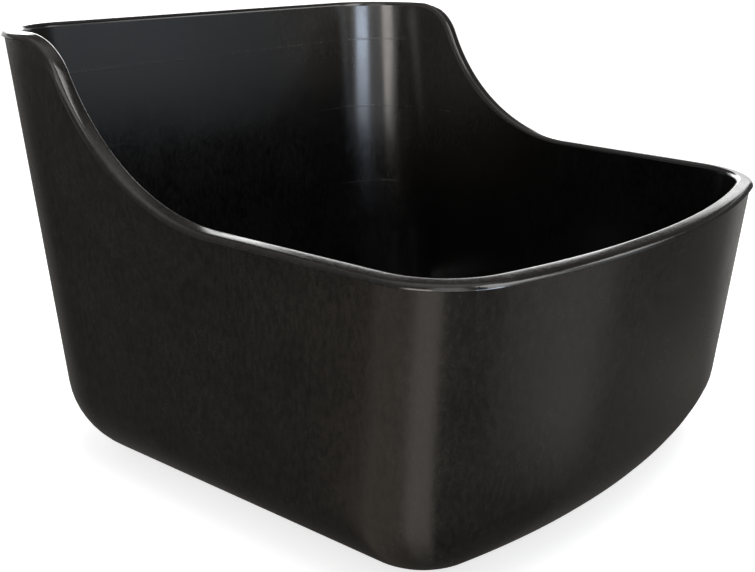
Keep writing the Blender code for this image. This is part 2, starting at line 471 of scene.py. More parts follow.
def new_finish(name: str) -> tuple[bpy.types.Material, NodeSheet, bpy.types.NodeInputs]:
    """Starts a finish.

    Args:
        name: The material's name.

    Returns:
        The material, its sheet and its shader's inputs.
    """
    made = bpy.data.materials.new(name)
    made.use_nodes = True
    return made, NodeSheet(made.node_tree), made.node_tree.nodes["Principled BSDF"].inputs


@dataclass(frozen=True)
class NestingMark:
    """One line that the rim of a stacked tub has rubbed on the inside, about one place in the right half."""

    height: float
    slope: float
    width: float
    breaks: float
    middle: Span
    reach: float
    seed_step: float = 37.0

    def values(self) -> dict[str, float]:
        """What the nesting ring takes for this mark. Its height also moves the ring's breaks."""
        return {"Height": self.height, "Slope": self.slope, "Width": self.width,
                "Seed": self.height * self.seed_step, "Breaks": self.breaks, "Across": self.middle[0],
                "Along": self.middle[1], "Reach": self.reach}


@dataclass(frozen=True)
class PaintedLightFilm:
    """Painted light: a lighter, patchy film high on the inside walls that stands in for light falling there,
    by where each axis lets it start and end, in metres.
    """

    colour: Colour = (0.036, 0.031, 0.026)
    least: float = 0.75
    side_up: Span = (0.12, 0.31)
    side_along: Span = (-0.08, 0.16)
    side_end: Span = (0.222, 0.198)
    side_across: Span = (0.216, 0.237)
    back_up: Span = (0.26, 0.36)
    back_across: Span = (-0.02, 0.16)
    back_along: Span = (0.232, 0.246)

    def share(self, sheet: NodeSheet, place: Socket, inside: Socket, patches: Socket) -> Socket:
        """Finds where the painted light goes: high on the side walls towards the back, and on the right of
        the back.

        Args:
            sheet: The finish's sheet.
            place: The place on the piece.
            inside: 1 on the inside.
            patches: 1 where the film is full, and 0 where it is thinnest.

        Returns:
            The share of painted light in the colour.
        """
        axes = sheet.axes(place)
        side = sheet.times(sheet.ramp(axes["Z"], *self.side_up), sheet.ramp(axes["Y"], *self.side_along),
                           sheet.ramp(axes["Y"], *self.side_end),
                           sheet.ramp(sheet.unsigned(axes["X"]), *self.side_across))
        back = sheet.times(sheet.ramp(axes["Z"], *self.back_up), sheet.ramp(axes["X"], *self.back_across),
                           sheet.ramp(axes["Y"], *self.back_along))
        film = sheet.plus(sheet.times(patches, 1.0 - self.least), self.least)
        return sheet.times(inside, sheet.most(side, back), film)


@dataclass(frozen=True)
class BlackPolyethylene:
    """Black polyethylene: satin and finely pebbled outside, smoother inside, rubbed along the rim, with
    painted shade in its darker inside tones and painted light high inside.
    """

    outside_dark: Colour = (0.0012, 0.0009, 0.0007)
    outside_light: Colour = (0.0230, 0.0192, 0.0160)
    # The inside's tones are a darker copy of the outside's: painted shade that keeps the deep inside black.
    shaded_inside_dark: Colour = (0.0012, 0.0011, 0.0012)
    shaded_inside_light: Colour = (0.0090, 0.0082, 0.0078)
    rubbed: Colour = (0.034, 0.032, 0.030)
    outside_roughness: float = 0.25
    inside_roughness: float = 0.19
    rim_roughness: float = 0.12
    roughness_change: float = 0.03
    marks_roughness: float = 0.5
    specular: float = 0.56
    grain_scale: float = 760.0
    mottle_scale: float = 260.0
    mottle_flow_scale: float = 60.0
    mottle_stretch: Triple = (1.0, 1.0, 0.45)
    scuff_stretch: Triple = (0.12, 0.12, 1.0)
    speck_share: float = 0.40
    flow_share: float = 0.20
    rub_shown: float = 0.10
    scuff_shown: float = 0.12
    lines_shown: float = 0.16
    grain_depth: float = 0.00008
    grain_strength: float = 0.5
    inside_height: float = 0.3
    scuff_height: float = 0.5
    lines_height: float = 0.4
    # Painted light: a lighter film high on the inside walls.
    painted_light: PaintedLightFilm = PaintedLightFilm()
    marks: tuple[NestingMark, ...] = (
        NestingMark(0.3350, 0.0108, 0.0011, 0.10, (0.06, 0.25), 0.34),
        NestingMark(0.2622, 0.0, 0.0008, 0.05, (0.22, 0.19), 0.13),
        NestingMark(0.1750, 0.0, 0.0008, 0.10, (0.205, 0.235), 0.048),
    )

    def material(self, shared: SharedEffects) -> bpy.types.Material:
        """Builds the finish.

        Args:
            shared: The shared effects.

        Returns:
            The material, which reads the inside and rim attributes.
        """
        made, sheet, shader = new_finish("black_polyethylene")
        place = sheet.place()
        inside, rim = (sheet.add("Attribute", attribute_name=zone.value).outputs["Fac"]
                       for zone in (Zone.INSIDE, Zone.RIM))

        grain = sheet.group(shared.grain, {"Vector": place, "Scale": self.grain_scale})
        drawn = sheet.out("Mapping", {"Vector": place, "Scale": self.mottle_stretch})
        mottle = sheet.group(shared.grain, {"Vector": drawn, "Scale": self.mottle_scale,
                                            "Flow Scale": self.mottle_flow_scale})
        rub = sheet.group(shared.rub, {"Vector": place, "Edge": rim})["Rubbed"]
        lying = sheet.out("Mapping", {"Vector": place, "Scale": self.scuff_stretch})
        scuff = sheet.group(shared.scuff, {"Vector": lying})["Scuff"]
        rings = [sheet.group(shared.ring, {"Vector": place, **mark.values()})["Rubbed"]
                 for mark in self.marks]
        lines = sheet.times(sheet.most(*rings), inside)

        tone = sheet.plus(sheet.times(grain["Speck"], self.speck_share),
                          sheet.times(mottle["Speck"], self.speck_share),
                          sheet.times(grain["Flow"], self.flow_share))
        # Painted shade: the inside takes the darker tones.
        dark = sheet.blend(inside, self.outside_dark, self.shaded_inside_dark)
        light = sheet.blend(inside, self.outside_light, self.shaded_inside_light)
        base = sheet.blend(tone, dark, light)
        # Painted light: a lighter patchy film high on the inside walls.
        base = sheet.blend(self.painted_light.share(sheet, place, inside, mottle["Speck"]), base, self.painted_light.colour)
        marks = sheet.most(sheet.times(rub, self.rub_shown), sheet.times(scuff, self.scuff_shown),
                           sheet.times(lines, self.lines_shown))
        sheet.feed(shader["Base Color"], sheet.blend(marks, base, self.rubbed))

        side = sheet.span(inside, self.outside_roughness, self.inside_roughness)
        side = sheet.span(rim, side, self.rim_roughness)
        change = sheet.minus(sheet.plus(grain["Flow"], mottle["Speck"]), 1.0)
        rough = sheet.plus(side, sheet.times(change, self.roughness_change),
                           sheet.times(marks, self.marks_roughness))
        sheet.feed(shader["Roughness"], rough)

        height = sheet.times(grain["Height"], sheet.span(inside, 1.0, self.inside_height))
        height = sheet.minus(height, sheet.times(scuff, self.scuff_height))
        height = sheet.plus(height, sheet.times(lines, self.lines_height))
        bump = {"Strength": self.grain_strength, "Distance": self.grain_depth, "Height": height}
        sheet.feed(shader["Normal"], sheet.out("Bump", bump))
        shader["Specular IOR Level"].default_value = self.specular
        return made


@dataclass(frozen=True)
class PlugRubber:
    """Matt black rubber with a faint bloom."""

    colour: Colour = (0.016, 0.016, 0.017)
    bloom: Colour = (0.060, 0.060, 0.062)
    roughness: float = 0.62
    roughness_change: float = 0.3
    specular: float = 0.35
    grain_scale: float = 1600.0
    flow_scale: float = 90.0
    scuff_scale: float = 900.0
    scuff_amount: float = 0.4
    flow_shown: float = 0.3
    scuff_shown: float = 0.5
    grain_depth: float = 0.00005
    grain_strength: float = 0.4

    def material(self, shared: SharedEffects) -> bpy.types.Material:
        """Builds the finish.

        Args:
            shared: The shared effects.

        Returns:
            The material.
        """
        made, sheet, shader = new_finish("plug_rubber")
        place = sheet.place()
        grain = sheet.group(shared.grain, {"Vector": place, "Scale": self.grain_scale,
                                           "Flow Scale": self.flow_scale})
        scuff = sheet.group(shared.scuff, {"Vector": place, "Scale": self.scuff_scale,
                                           "Amount": self.scuff_amount})
        dull = sheet.most(sheet.times(grain["Flow"], self.flow_shown),
                          sheet.times(scuff["Scuff"], self.scuff_shown))
        sheet.feed(shader["Base Color"], sheet.blend(dull, self.colour, self.bloom))
        sheet.feed(shader["Roughness"], sheet.plus(self.roughness, sheet.times(dull, self.roughness_change)))
        bump = {"Strength": self.grain_strength, "Distance": self.grain_depth, "Height": grain["Height"]}
        sheet.feed(shader["Normal"], sheet.out("Bump", bump))
        shader["Specular IOR Level"].default_value = self.specular
        return made


class Outline:
    """The outside's plan outline at one height. The walls lean outwards, so it grows with the height."""

    def __init__(self, tub: "FeedTub", height: float) -> None:
        """Lays out the outline.

        Args:
            tub: The tub's sizes.
            height: The height that it is cut at.
        """
        below_back = tub.back_height - tub.rim_lip - height
        below_front = tub.front_height - tub.rim_lip - height
        slope = math.tan(tub.side_draft)
        half_back = tub.back_width / 2 - tub.rim_proud - below_back * slope
        half_front = tub.front_width / 2 - tub.rim_proud - below_front * slope
        bow = tub.front_bow + (tub.base_bow - tub.front_bow) * below_front / tub.front_height
        grown = (tub.back_base_radius - tub.back_top_radius) * below_back / tub.back_height
        self.back_radius = tub.back_top_radius + grown
        self.back_y = tub.depth / 2 - tub.rim_proud - below_back * math.tan(tub.back_draft)
        front_y = -tub.depth / 2 + tub.rim_proud + below_front * math.tan(tub.front_draft)

        back_corner = Vector((half_back, self.back_y))
        front_corner = Vector((half_front, front_y + bow))
        along = (front_corner - back_corner).normalized()
        self.side_normal = Vector((-along.y, along.x))
        start = back_corner - self.back_radius * self.side_normal
        self.back_centre = start + along * (self.back_y - self.back_radius - start.y) / along.y

        self.front_radius = tub.front_radius
        self.bow_radius = (half_front**2 + bow**2) / (2 * bow)
        self.bow_centre = Vector((0.0, front_y + self.bow_radius))
        start = front_corner - self.front_radius * self.side_normal
        away = start - self.bow_centre
        forward = away.dot(along)
        excess = away.dot(away) - (self.bow_radius - self.front_radius) ** 2
        self.front_centre = start + along * (math.sqrt(forward**2 - excess) - forward)

    def at(self, place: Place) -> tuple[Vector, Vector]:
        """Finds one place on the right half.

        Args:
            place: A stretch and the share of the way along it, from the back to the front.

        Returns:
            The point and its outward normal.
        """
        stretch, share = place
        if stretch is Stretch.BACK:
            return Vector((self.back_centre.x * share, self.back_y)), Vector((0.0, 1.0))
        if stretch is Stretch.SIDE:
            start = self.back_centre + self.back_radius * self.side_normal
            end = self.front_centre + self.front_radius * self.side_normal
            return start.lerp(end, share), self.side_normal
        side_angle = math.atan2(self.side_normal.y, self.side_normal.x)
        to_front = self.front_centre - self.bow_centre
        bow_angle = math.atan2(to_front.y, to_front.x)
        centre, radius, first, last = {
            Stretch.BACK_CORNER: (self.back_centre, self.back_radius, QUARTER, side_angle),
            Stretch.FRONT_CORNER: (self.front_centre, self.front_radius, side_angle, bow_angle),
            Stretch.FRONT: (self.bow_centre, self.bow_radius, bow_angle, -QUARTER),
        }[stretch]
        angle = first + (last - first) * share
        normal = Vector((math.cos(angle), math.sin(angle)))
        return centre + radius * normal, normal


@dataclass
class FeedTub:
    """The moulding: drafted walls, a high flat back, swept side rims, a low bowed front and a proud rim.

    The columns are counted for each stretch. The rim's supports are how far below its curves the wall has
    two close rings, which keep the curves tight. The ledge's ends are how far its flat part stops short of
    the wall and of the lip, as shares of its round. The round's cut is how far inside its corner the middle
    of the recess's round lies. The zones fade over the rings at the rim's edge.
    """

    back_width: float = 0.520
    front_width: float = 0.466
    depth: float = 0.540
    back_height: float = 0.378
    front_height: float = 0.249
    front_bow: float = 0.0433
    base_bow: float = 0.0376
    back_top_radius: float = 0.079
    back_base_radius: float = 0.093
    front_radius: float = 0.075
    fillet_radius: float = 0.0686
    side_draft: float = math.radians(1.7)
    back_draft: float = math.radians(4.4)
    front_draft: float = math.radians(5.8)
    wall: float = 0.0127
    shoulder_start: float = 0.0816
    shoulder_radius: float = 0.0516
    sweep_radius: float = 0.1777
    rim_proud: float = 0.0024
    rim_ledge: float = 0.0010
    rim_fall: float = 0.0009
    outer_round: float = 0.0040
    outer_curve: float = 0.0060
    inner_round: float = 0.0041
    ledge_round: float = 0.0003
    ledge_ends: Span = (0.2, 0.6)
    rim_supports: Span = (0.0040, 0.0012)
    hole_radius: float = 0.0193
    recess_radius: float = 0.0263
    recess_floor: float = 0.0089
    recess_round: float = 0.0005
    round_cut: float = 0.3
    columns: tuple[int, ...] = (12, 26, 84, 28, 24)
    fillet_rings: int = 14
    wall_rings: int = 14
    floor_rings: int = 5
    round_rings: int = 8
    settling_steps: int = 12
    fine_steps: int = 900
    edge_rings: int = 3
    inside_fade: tuple[float, ...] = (0.3, 0.6, 0.8, 0.9)
    rim_fade: float = 0.5

    @property
    def rim_lip(self) -> float:
        """How far the rim's outer edge hangs below its crest."""
        return self.rim_fall + self.outer_round

    def rim_height(self, y: float) -> float:
        """Finds the side rim's height: flat, a shoulder, a sweep that meets it where both are steepest, flat.

        Args:
            y: The place along the tub.

        Returns:
            The height of the crest there.
        """
        both = self.shoulder_radius + self.sweep_radius
        turn = math.acos(1 - (self.back_height - self.front_height) / both)
        forward = self.depth / 2 - self.rim_proud - self.shoulder_start - y
        sweep_end = both * math.sin(turn)
        if forward <= 0:
            return self.back_height
        if forward <= self.shoulder_radius * math.sin(turn):
            return self.back_height - self.shoulder_radius + math.sqrt(self.shoulder_radius**2 - forward**2)
        if forward < sweep_end:
            left = sweep_end - forward
            return self.front_height + self.sweep_radius - math.sqrt(self.sweep_radius**2 - left**2)
        return self.front_height

    def crest(self, place: Place) -> tuple[Vector, Vector, float]:
        """The wall's crest in one column.

        Args:
            place: The column's place in plan.

        Returns:
            The crest on the outside wall's surface, its outward normal, and how far it leans out for
            its height.
        """
        height = self.front_height
        for _ in range(self.settling_steps):
            point, normal = Outline(self, height).at(place)
            height = self.rim_height(point.y)
        lean = (point - Outline(self, 0.0).at(place)[0]).dot(normal) / height
        return Vector((point.x, point.y, height)), normal.to_3d(), lean

    def places(self) -> list[Place]:
        """Lays out the right half's columns.

        Returns:
            Their places, from the middle of the back to the middle of the front.
        """
        found = []
        for stretch, count in zip(Stretch, self.columns, strict=True):
            shares = [step / count for step in range(count)]
            if stretch is Stretch.SIDE:
                shares = self.side_shares(count)
            found += [(stretch, share) for share in shares]
        return found + [(Stretch.FRONT, 1.0)]

    def side_shares(self, count: int) -> list[float]:
        """Shares of the side that cut its rim into equal lengths.

        Args:
            count: How many lengths.

        Returns:
            Where each length starts.
        """
        fine = [step / self.fine_steps for step in range(self.fine_steps + 1)]
        lowest, highest = Outline(self, self.front_height), Outline(self, self.back_height)
        points = []
        for share in fine:
            y = sum(outline.at((Stretch.SIDE, share))[0].y for outline in (lowest, highest)) / 2
            points.append(Vector((y, self.rim_height(y))))
        lengths = [0.0]
        for one, other in zip(points, points[1:]):
            lengths.append(lengths[-1] + (other - one).length)
        wanted = [lengths[-1] * step / count for step in range(count)]
        return [next(share for share, length in zip(fine, lengths) if length >= want) for want in wanted]

    def rim_section(self) -> list[Span]:
        """Draws the rim's section, from the outside wall to the inside one.

        Returns:
            Its points as (out, down) from the wall's crest.
        """
        under = self.rim_lip + self.rim_ledge
        small, steps = self.ledge_round, self.round_rings
        far, close = self.rim_supports
        first, last = self.ledge_ends
        points = [(0.0, under + far), (0.0, under + close), (0.0, under + small)]
        points += [(small, under - small * first), (self.rim_proud - small, self.rim_lip + small * last)]
        start = math.asin(1.0 - self.outer_round / self.outer_curve)
        centre = (self.rim_proud - self.outer_curve * math.cos(start), -self.outer_curve * math.sin(start))
        points += [(out, self.rim_lip - up) for out, up in
                   arc(centre, self.outer_curve, start, QUARTER, steps)]
        points += [(out, self.inner_round - up) for out, up in
                   arc((self.inner_round - self.wall, 0.0), self.inner_round, QUARTER, math.pi, steps)]
        return points + [(-self.wall, self.inner_round + close), (-self.wall, self.inner_round + far)]

    def level_ring(self, places: list[Place], inset: float, height: float) -> Ring:
        """Draws a level ring.

        Args:
            places: The columns.
            inset: How far inside the outside's skin it lies.
            height: Its height.

        Returns:
            Its points.
        """
        outline, ring = Outline(self, height), []
        for place in places:
            point, normal = outline.at(place)
            inner = point - inset * normal
            ring.append(Vector((inner.x, inner.y, height)))
        return ring

    def fillet(self, places: list[Place], inset: float) -> list[Ring]:
        """Rings round the bottom edge, from the floor up to the wall, for the skin at this inset."""
        turned = arc((0.0, 0.0), self.fillet_radius - inset, 0.0, QUARTER, self.fillet_rings)
        return [self.level_ring(places, self.fillet_radius - out, self.fillet_radius - down)
                for down, out in turned]

    def rim_rings(self, places: list[Place]) -> list[Ring]:
        """Draws the rings over the rim, square to its run.

        Args:
            places: The columns.

        Returns:
            The rings, from the outside wall to the inside one.
        """
        crest = [self.crest(place) for place in places]
        rings: list[Ring] = [[] for _ in self.rim_section()]
        for index, (point, normal, lean) in enumerate(crest):
            run = Vector((1.0, 0.0, 0.0))
            if 0 < index < len(crest) - 1:
                run = crest[index + 1][0] - crest[index - 1][0]
            up = normal.cross(run).normalized()
            up *= math.copysign(1.0, up.z)
            for ring, (out, down) in zip(rings, self.rim_section()):
                ring.append(point + (out - lean * down * up.z) * normal - down * up)
        return rings

    @staticmethod
    def between(lower: Ring, upper: Ring, count: int) -> list[Ring]:
        """The rings strictly between two others, equally spaced."""
        shares = [step / (count + 1) for step in range(1, count + 1)]
        return [[one.lerp(other, share) for one, other in zip(lower, upper)] for share in shares]

    @staticmethod
    def all_round(half: Ring) -> Ring:
        """Completes a ring.

        Args:
            half: Its right half.

        Returns:
            The whole ring, from the back's middle down the left side, then up the right.
        """
        left = [Vector((-point.x, point.y, point.z)) for point in half]
        left[0].x = left[-1].x = 0.0
        return left + half[-2:0:-1]

    def drain(self) -> Vector:
        """The middle of the flat floor, where the drain is."""
        floor = Outline(self, 0.0)
        return Vector((0.0, (floor.back_y + floor.at((Stretch.FRONT, 1.0))[0].y) / 2, 0.0))

    def drain_ring(self, columns: Ring, radius: float, height: float) -> Ring:
        """Draws a circle about the drain.

        Args:
            columns: A ring with a point in each column.
            radius: The circle's radius.
            height: Its height.

        Returns:
            The circle, with a point in the direction of each column.
        """
        drain, ring = self.drain(), []
        for point in columns:
            away = Vector((point.x, point.y, 0.0)) - drain
            ring.append(drain + away.normalized() * radius + Vector((0.0, 0.0, height)))
        return ring

    def rings(self) -> tuple[list[Ring], dict[Zone, list[float]]]:
        """Draws every ring of the skin.

        Returns:
            The rings, from the drain's lower edge over the rim to its upper edge, and for each zone one
            value per ring.
        """
        places = self.places()
        outside = [self.all_round(ring) for ring in self.fillet(places, 0.0)]
        inside = [self.all_round(ring) for ring in self.fillet(places, self.wall)]
        rim = [self.all_round(ring) for ring in self.rim_rings(places)]
        foot, floor, small = outside[0], inside[0], self.recess_round
        cut = small * self.round_cut

        lower = [self.drain_ring(foot, self.hole_radius, small),
                 self.drain_ring(foot, self.hole_radius + small, 0.0)]
        lower += self.between(lower[-1], foot, self.floor_rings) + outside
        lower += self.between(outside[-1], rim[0], self.wall_rings)
        upper = self.between(rim[-1], inside[-1], self.wall_rings) + inside[::-1]
        recess_edge = self.drain_ring(floor, self.recess_radius + small, self.wall)
        upper += self.between(floor, recess_edge, self.floor_rings) + [recess_edge]
        for radius, height in ((self.recess_radius + cut, self.wall - cut),
                               (self.recess_radius, self.wall - small),
                               (self.recess_radius, self.recess_floor),
                               (self.hole_radius + small, self.recess_floor),
                               (self.hole_radius, self.recess_floor - small)):
            upper.append(self.drain_ring(floor, radius, height))

        edge, fade = self.edge_rings, list(self.inside_fade)
        inner = len(rim) - edge
        zones = {
            Zone.INSIDE: [0.0] * (len(lower) + inner - len(fade)) + fade + [1.0] * (edge + len(upper)),
            Zone.RIM: ([0.0] * (len(lower) + edge) + [1.0] * (inner - edge) + [self.rim_fade]
                       + [0.0] * (edge - 1 + len(upper))),
        }
        return lower + rim + upper, zones

    def build(self) -> bpy.types.Object:
        """Makes the moulding's mesh.

        Returns:
            The tub, with its zones as attributes.
        """
        rings, zones = self.rings()
        tub = extrude_through("feed_tub", rings, closed=True)
        for zone, values in zones.items():
            attribute = tub.data.attributes.new(zone.value, "FLOAT", "POINT")
            spread = [value for value in values for _ in rings[0]]
            attribute.data.foreach_set("value", spread)
        settle(tub)
        return tub

    def dress(self, tub: bpy.types.Object, finish: bpy.types.Material) -> None:
        """Gives the tub its finish and ties it to its CAD node.

        Args:
            tub: The tub.
            finish: Its material.
        """
        tub.data.materials.append(finish)
        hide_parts("tub")
        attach(tub, "tub")
        log.info("%s: %d faces", tub.name, len(tub.data.polygons))


@dataclass
class DrainPlug:
    """The rubber stopper: a tapered shank, a flange in the floor's recess and an upright pull tab.

    Its small shapes are points of its profile: how far in from the chamfer, the shank, the flange's edge or
    the tab's, and how far up or down.
    """

    seat: Vector
    floor: float = 0.0127
    radius: float = 0.0190
    taper: float = 0.0012
    tip: float = 0.0015
    tip_chamfer: float = 0.0015
    flange_reach: float = 0.0070
    flange_depth: float = 0.0035
    edge: float = 0.0010
    tab_radius: float = 0.0130
    tab_thickness: float = 0.0050
    tab_root: float = 0.0018
    tip_dish: tuple[Span, ...] = ((0.0040, 0.0006), (0.0020, 0.0))
    shank_shoulder: Span = (0.0004, 0.0006)
    flange_corner: float = 0.0003
    flange_groove: tuple[Span, ...] = ((0.0030, 0.0), (0.0036, 0.0006), (0.0046, 0.0006), (0.0052, 0.0))
    tab_hollow: tuple[Span, ...] = ((0.0045, 0.0), (0.0055, 0.0005))
    segments: int = 96
    edge_steps: int = 4

    def circle(self, radius: float, height: float) -> Ring:
        """A level circle about the plug's axis, counter-clockwise from +Y."""
        turns = [QUARTER + math.tau * step / self.segments for step in range(self.segments)]
        return [self.seat + Vector((radius * math.cos(turn), radius * math.sin(turn), height))
                for turn in turns]

    def profile(self) -> list[Span]:
        """Draws the turned body's profile.

        Returns:
            Its points as (radius, height), from the tip to the flange's top.
        """
        tip_radius = self.radius - self.taper - self.tip_chamfer
        flange = self.radius + self.flange_reach
        under = self.floor - self.flange_depth
        points = [(tip_radius - inward, self.tip + up) for inward, up in self.tip_dish]
        points += arc((tip_radius, self.tip + self.tip_chamfer), self.tip_chamfer, -QUARTER, 0.0,
                      self.edge_steps)
        points += [(self.radius - self.shank_shoulder[0], under - self.shank_shoulder[1])]
        points += [(self.radius, under), (flange - self.flange_corner, under)]
        points += [(flange, under + self.flange_corner)]
        points += arc((flange - self.edge, self.floor - self.edge), self.edge, 0.0, QUARTER, self.edge_steps)
        return points + [(flange - inward, self.floor - down) for inward, down in self.flange_groove]

    def tab_rings(self) -> list[Ring]:
        """Draws the pull tab, with round edges.

        Returns:
            Its rings about +Y, from one flat side to the other.
        """
        half, edge = self.tab_thickness / 2, self.edge
        side = arc((self.tab_radius - edge, half - edge), edge, 0.0, QUARTER, self.edge_steps)
        profile = side + [(self.tab_radius - inward, half - down) for inward, down in self.tab_hollow]
        profile = [(radius, -out) for radius, out in profile[::-1]] + profile
        turns = [math.tau * step / self.segments for step in range(self.segments)]
        middle = self.seat + Vector((0.0, 0.0, self.floor))
        return [[middle + Vector((radius * math.cos(turn), out, radius * math.sin(turn))) for turn in turns]
                for radius, out in profile]

    def build(self) -> bpy.types.Object:
        """Makes the plug's mesh.

        Returns:
            The plug, body and tab joined in one skin.
        """
        rings = [self.circle(*point) for point in self.profile()]
        plug = extrude_through("rubber_drain_plug", rings, closed=False)
        tab = extrude_through("pull_tab", self.tab_rings(), closed=False)
        pick(tab)
        bpy.ops.object.mode_set(mode="EDIT")
        bpy.ops.mesh.select_all(action="SELECT")
        root = self.seat + Vector((0.0, 0.0, self.floor - self.tab_root))
        bpy.ops.mesh.bisect(plane_co=root, plane_no=(0.0, 0.0, 1.0), use_fill=True, clear_inner=True)
        bpy.ops.mesh.select_all(action="SELECT")
        bpy.ops.mesh.normals_make_consistent(inside=False)
        bpy.ops.object.mode_set(mode="OBJECT")
        settle(plug)
        joint = plug.modifiers.new("tab_joint", "BOOLEAN")
        joint.operation, joint.object, joint.solver = "UNION", tab, "EXACT"
        apply_modifiers(plug)
        bpy.data.objects.remove(tab)
        settle(plug)
        return plug

    def dress(self, plug: bpy.types.Object, finish: bpy.types.Material) -> None:
        """Gives the plug its finish and ties it to its CAD node.

        Args:
            plug: The plug.
            finish: Its material.
        """
        plug.data.materials.clear()
        plug.data.materials.append(finish)
        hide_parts("drain_plug")
        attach(plug, "drain_plug")
        log.info("%s: %d faces", plug.name, len(plug.data.polygons))


@dataclass(frozen=True)
class PhotoCamera:
    """The camera at the photograph's viewing angle."""

    place: Triple = (-0.70996, -0.60900, 0.45762)
    azimuth: float = math.radians(-48.573)
    elevation: float = math.radians(18.056)
    roll: float = math.radians(0.142)
    lens: float = 51.10
    sensor: float = 36.0
    shift_x: float = -0.01555
    shift_y: float = -0.01115

    def build(self) -> None:
        """Adds the camera and makes it the scene's."""
        azimuth, elevation = self.azimuth, self.elevation
        flat = math.cos(elevation)
        back = Vector((math.sin(azimuth) * flat, -math.cos(azimuth) * flat, math.sin(elevation)))
        across = Vector((math.cos(azimuth), math.sin(azimuth), 0.0))
        upward = back.cross(across)
        right = across * math.cos(self.roll) + upward * math.sin(self.roll)
        up = upward * math.cos(self.roll) - across * math.sin(self.roll)
        data = bpy.data.cameras.new("photo_camera")
        data.lens, data.sensor_width = self.lens, self.sensor
        data.shift_x, data.shift_y = self.shift_x, self.shift_y
        camera = bpy.data.objects.new("photo_camera", data)
        bpy.context.scene.collection.objects.link(camera)
        turned = Matrix((right, up, back)).transposed().to_4x4()
        turned.translation = Vector(self.place)
        camera.matrix_world = turned
        bpy.context.scene.camera = camera


def tinted(glow: float, tint: Colour) -> Colour:
    """A tint at a glow's strength."""
    return tuple(channel * glow for channel in tint)


def glow_sheet(name: str) -> tuple[bpy.types.Material, NodeSheet]:
    """Starts a material that glows instead of taking light.

    Args:
        name: Its name.

    Returns:
        The material and its sheet.
    """
    made = bpy.data.materials.new(name)
    made.use_nodes = True
    made.node_tree.nodes.remove(made.node_tree.nodes["Principled BSDF"])
    return made, NodeSheet(made.node_tree)


def stage_card(name: str, glow: bpy.types.Material) -> None:
    """Makes the mesh that was just added a card that only shows mirrored in the plastic.

    It isn't seen, lights nothing dull and casts no shadow.

    Args:
        name: Its name.
        glow: Its material.
    """
    card = bpy.context.object
    card.name = card.data.name = name
    card.visible_camera = card.visible_diffuse = card.visible_shadow = False
    card.visible_transmission = card.visible_volume_scatter = False
    card.data.materials.append(glow)


@dataclass(frozen=True)
class StandingCard:
    """An upright card that the glossy plastic mirrors, facing the tub, with edges that fade.

    Its places are in degrees and metres, and its fades are shares of its width and height. Its glow grows
    from the bottom edge to the full height. Below lean_below its middle slides sideways, by lean for each
    metre down. An opaque card hides what is behind it. Any other adds its glow to it.
    """

    name: str
    azimuth: float
    distance: float
    width: float
    bottom: float
    top: float
    glow: float
    tint: Colour
    fade: Span
    full_height: float = 0.0
    opaque: bool = False
    lean: float = 0.0
    lean_below: float = 0.45
    growth: Rise = Rise.SMOOTH
    least_growth: float = 0.001

    def build(self) -> None:
        """Adds the card and its glow."""
        select_none()
        turn = math.radians(self.azimuth)
        place = (self.distance * math.cos(turn), self.distance * math.sin(turn), (self.bottom + self.top) / 2)
        bpy.ops.mesh.primitive_plane_add(size=1.0, location=place, rotation=(QUARTER, 0.0, turn - QUARTER))
        bpy.context.object.scale = (self.width, self.top - self.bottom, 1.0)
        stage_card(self.name, self.material())

    def place_of(self, height: float) -> float:
        """Where this height lies on the card, from -0.5 at its bottom edge to 0.5 at its top."""
        return (height - self.bottom) / (self.top - self.bottom) - HALF

    def material(self) -> bpy.types.Material:
        """The glow, which fades towards the sides and up from the bottom edge to its full height.

        Returns:
            The card's material.
        """
        made, sheet = glow_sheet(self.name)
        axes = sheet.axes(sheet.place())
        lowered = sheet.most(sheet.minus(self.place_of(self.lean_below), axes["Y"]), 0.0)
        slide = sheet.times(lowered, self.lean * (self.top - self.bottom) / self.width)
        from_side = sheet.minus(HALF, sheet.unsigned(sheet.plus(axes["X"], slide)))
        from_top = sheet.minus(HALF, axes["Y"])
        full = max(self.place_of(self.full_height), self.least_growth - HALF)
        share = sheet.times(sheet.ramp(from_side, 0.0, self.fade[0]), sheet.ramp(from_top, 0.0, self.fade[1]),
                            sheet.ramp(axes["Y"], -HALF, full, self.growth))
        clear = sheet.out("BsdfTransparent")
        strength = self.glow if self.opaque else sheet.times(share, self.glow)
        glow = sheet.out("Emission", {"Color": (*self.tint, 1.0), "Strength": strength})
        if self.opaque:
            sheet.surface(sheet.out("MixShader", {0: share, 1: clear, 2: glow}))
        else:
            sheet.surface(sheet.out("AddShader", {0: clear, 1: glow}))
        return made


@dataclass(frozen=True)
class Slice:
    """A slice of the floor card that glows more than the rest.

    It lies between two turns from the card's axis, in degrees, with a soft edge at each. Its glow rises
    from the first distance in start to the second, both from the card's middle.
    """

    first: float
    last: float
    glow: float
    tint: Colour
    soft: Span
    start: Span = (0.0, 0.001)


